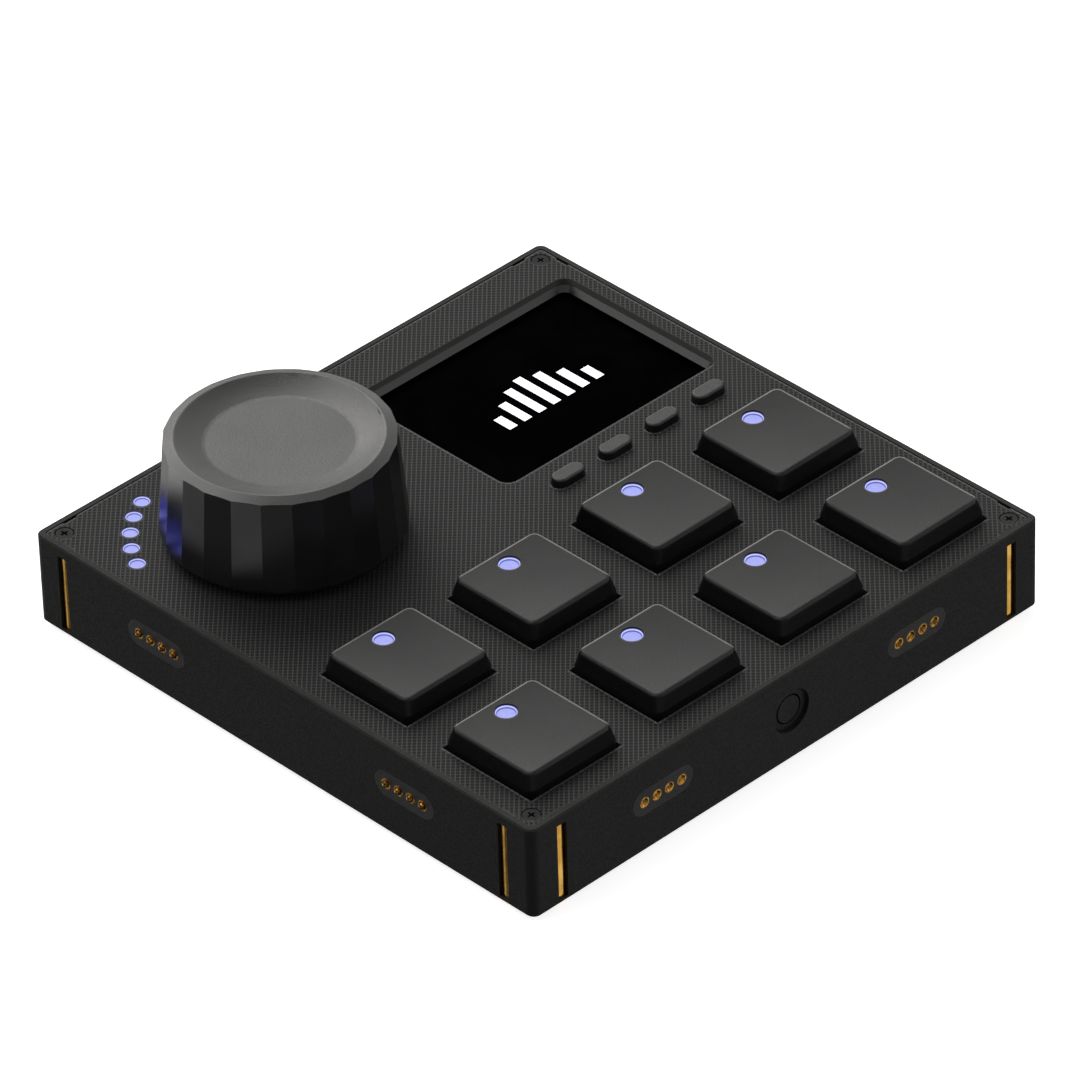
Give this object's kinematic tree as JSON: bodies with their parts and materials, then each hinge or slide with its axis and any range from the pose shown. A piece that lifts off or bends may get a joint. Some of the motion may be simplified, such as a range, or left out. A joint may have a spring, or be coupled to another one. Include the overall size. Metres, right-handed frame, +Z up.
{
  "type": "midi controller",
  "caption": "Square desktop midi controller with light-windowed keys, a large faceted dial, a display, menu buttons and docking contacts in its walls.",
  "frame": {"origin": "under the middle of the case, on the plane that the rubber feet stand on", "axes": "+X to the player's right, +Y away from the player, +Z up out of the key faces"},
  "size_m": [0.1071, 0.1071, 0.0345],
  "materials": {
    "case_plastic": "matte black, fine grain",
    "plate_plastic": "charcoal with a fine cross-hatched texture",
    "cap_plastic": "satin charcoal",
    "button_plastic": "satin charcoal",
    "knob_plastic": "satin top, glossy dark facets",
    "light_plastic": "clear, lit blue",
    "led_white": "LED package",
    "black_steel": "black oxide",
    "bright_steel": "plated",
    "gilt_metal": "gold plated",
    "board_laminate": "solder mask",
    "switch_plastic": "moulded",
    "stem_plastic": "moulded",
    "insert_plastic": "matte black",
    "screen_glass": "black when off",
    "panel_black": "dark panel",
    "foam_pad": "foam",
    "foot_rubber": "matte rubber"
  },
  "bodies": {
    "base": {"case_tray": "case_plastic", "top_plate": "plate_plastic", "display_frame": "case_plastic", "plate_screws": "black_steel", "rubber_feet": "foot_rubber", "magnet_rods": "gilt_metal", "main_board": "board_laminate", "board_screws": "bright_steel", "board_leds": "led_white", "light_pipes": "light_plastic", "switch_housings": "switch_plastic", "encoder_body": "bright_steel", "encoder_nut": "bright_steel", "display_glass": "screen_glass", "display_panel": "panel_black", "display_pad": "foam_pad", "tact_switches": "switch_plastic", "side_switch": "switch_plastic", "connector_blocks": "insert_plastic", "pin_barrels": "gilt_metal", "contact_cups": "gilt_metal", "usb_socket": "bright_steel"},
    "key_1": {"keycap_1": "cap_plastic", "key_stem_1": "stem_plastic", "key_window_1": "light_plastic"},
    "key_2": {"keycap_2": "cap_plastic", "key_stem_2": "stem_plastic", "key_window_2": "light_plastic"},
    "key_3": {"keycap_3": "cap_plastic", "key_stem_3": "stem_plastic", "key_window_3": "light_plastic"},
    "key_4": {"keycap_4": "cap_plastic", "key_stem_4": "stem_plastic", "key_window_4": "light_plastic"},
    "key_5": {"keycap_5": "cap_plastic", "key_stem_5": "stem_plastic", "key_window_5": "light_plastic"},
    "key_6": {"keycap_6": "cap_plastic", "key_stem_6": "stem_plastic", "key_window_6": "light_plastic"},
    "key_7": {"keycap_7": "cap_plastic", "key_stem_7": "stem_plastic", "key_window_7": "light_plastic"},
    "key_8": {"keycap_8": "cap_plastic", "key_stem_8": "stem_plastic", "key_window_8": "light_plastic"},
    "menu_1": {"menu_button_1": "button_plastic"},
    "menu_2": {"menu_button_2": "button_plastic"},
    "menu_3": {"menu_button_3": "button_plastic"},
    "menu_4": {"menu_button_4": "button_plastic"},
    "dial": {"knob": "knob_plastic", "encoder_shaft": "bright_steel"},
    "side_key": {"side_button": "button_plastic"},
    "pins_left_1": {"pin_set_left_1": "gilt_metal"},
    "pins_left_2": {"pin_set_left_2": "gilt_metal"},
    "pins_back_1": {"pin_set_back_1": "gilt_metal"},
    "pins_back_2": {"pin_set_back_2": "gilt_metal"}
  },
  "joints": [
    {"name": "key_1_press", "type": "slide", "parent": "base", "child": "key_1", "axis": [0, 0, -1], "range_m": [0, 0.003], "stiffness_N_per_m": 100, "springref_m": -0.003},
    {"name": "key_2_press", "type": "slide", "parent": "base", "child": "key_2", "axis": [0, 0, -1], "range_m": [0, 0.003], "stiffness_N_per_m": 100, "springref_m": -0.003},
    {"name": "key_3_press", "type": "slide", "parent": "base", "child": "key_3", "axis": [0, 0, -1], "range_m": [0, 0.003], "stiffness_N_per_m": 100, "springref_m": -0.003},
    {"name": "key_4_press", "type": "slide", "parent": "base", "child": "key_4", "axis": [0, 0, -1], "range_m": [0, 0.003], "stiffness_N_per_m": 100, "springref_m": -0.003},
    {"name": "key_5_press", "type": "slide", "parent": "base", "child": "key_5", "axis": [0, 0, -1], "range_m": [0, 0.003], "stiffness_N_per_m": 100, "springref_m": -0.003},
    {"name": "key_6_press", "type": "slide", "parent": "base", "child": "key_6", "axis": [0, 0, -1], "range_m": [0, 0.003], "stiffness_N_per_m": 100, "springref_m": -0.003},
    {"name": "key_7_press", "type": "slide", "parent": "base", "child": "key_7", "axis": [0, 0, -1], "range_m": [0, 0.003], "stiffness_N_per_m": 100, "springref_m": -0.003},
    {"name": "key_8_press", "type": "slide", "parent": "base", "child": "key_8", "axis": [0, 0, -1], "range_m": [0, 0.003], "stiffness_N_per_m": 100, "springref_m": -0.003},
    {"name": "menu_1_press", "type": "slide", "parent": "base", "child": "menu_1", "axis": [0, 0, -1], "range_m": [0, 0.0005], "stiffness_N_per_m": 600, "springref_m": -0.0005},
    {"name": "menu_2_press", "type": "slide", "parent": "base", "child": "menu_2", "axis": [0, 0, -1], "range_m": [0, 0.0005], "stiffness_N_per_m": 600, "springref_m": -0.0005},
    {"name": "menu_3_press", "type": "slide", "parent": "base", "child": "menu_3", "axis": [0, 0, -1], "range_m": [0, 0.0005], "stiffness_N_per_m": 600, "springref_m": -0.0005},
    {"name": "menu_4_press", "type": "slide", "parent": "base", "child": "menu_4", "axis": [0, 0, -1], "range_m": [0, 0.0005], "stiffness_N_per_m": 600, "springref_m": -0.0005},
    {"name": "dial_turn", "type": "hinge", "parent": "base", "child": "dial", "pos_m": [-0.02665, 0.02665, 0.0167], "axis": [0, 0, 1], "continuous": true},
    {"name": "side_key_press", "type": "slide", "parent": "base", "child": "side_key", "axis": [0, 1, 0], "range_m": [0, 0.0004], "stiffness_N_per_m": 600, "springref_m": -0.0005},
    {"name": "pins_left_1_press", "type": "slide", "parent": "base", "child": "pins_left_1", "axis": [1, 0, 0], "range_m": [0, 0.0008], "stiffness_N_per_m": 400, "springref_m": -0.001},
    {"name": "pins_left_2_press", "type": "slide", "parent": "base", "child": "pins_left_2", "axis": [1, 0, 0], "range_m": [0, 0.0008], "stiffness_N_per_m": 400, "springref_m": -0.001},
    {"name": "pins_back_1_press", "type": "slide", "parent": "base", "child": "pins_back_1", "axis": [0, -1, 0], "range_m": [0, 0.0008], "stiffness_N_per_m": 400, "springref_m": -0.001},
    {"name": "pins_back_2_press", "type": "slide", "parent": "base", "child": "pins_back_2", "axis": [0, -1, 0], "range_m": [0, 0.0008], "stiffness_N_per_m": 400, "springref_m": -0.001}
  ]
}
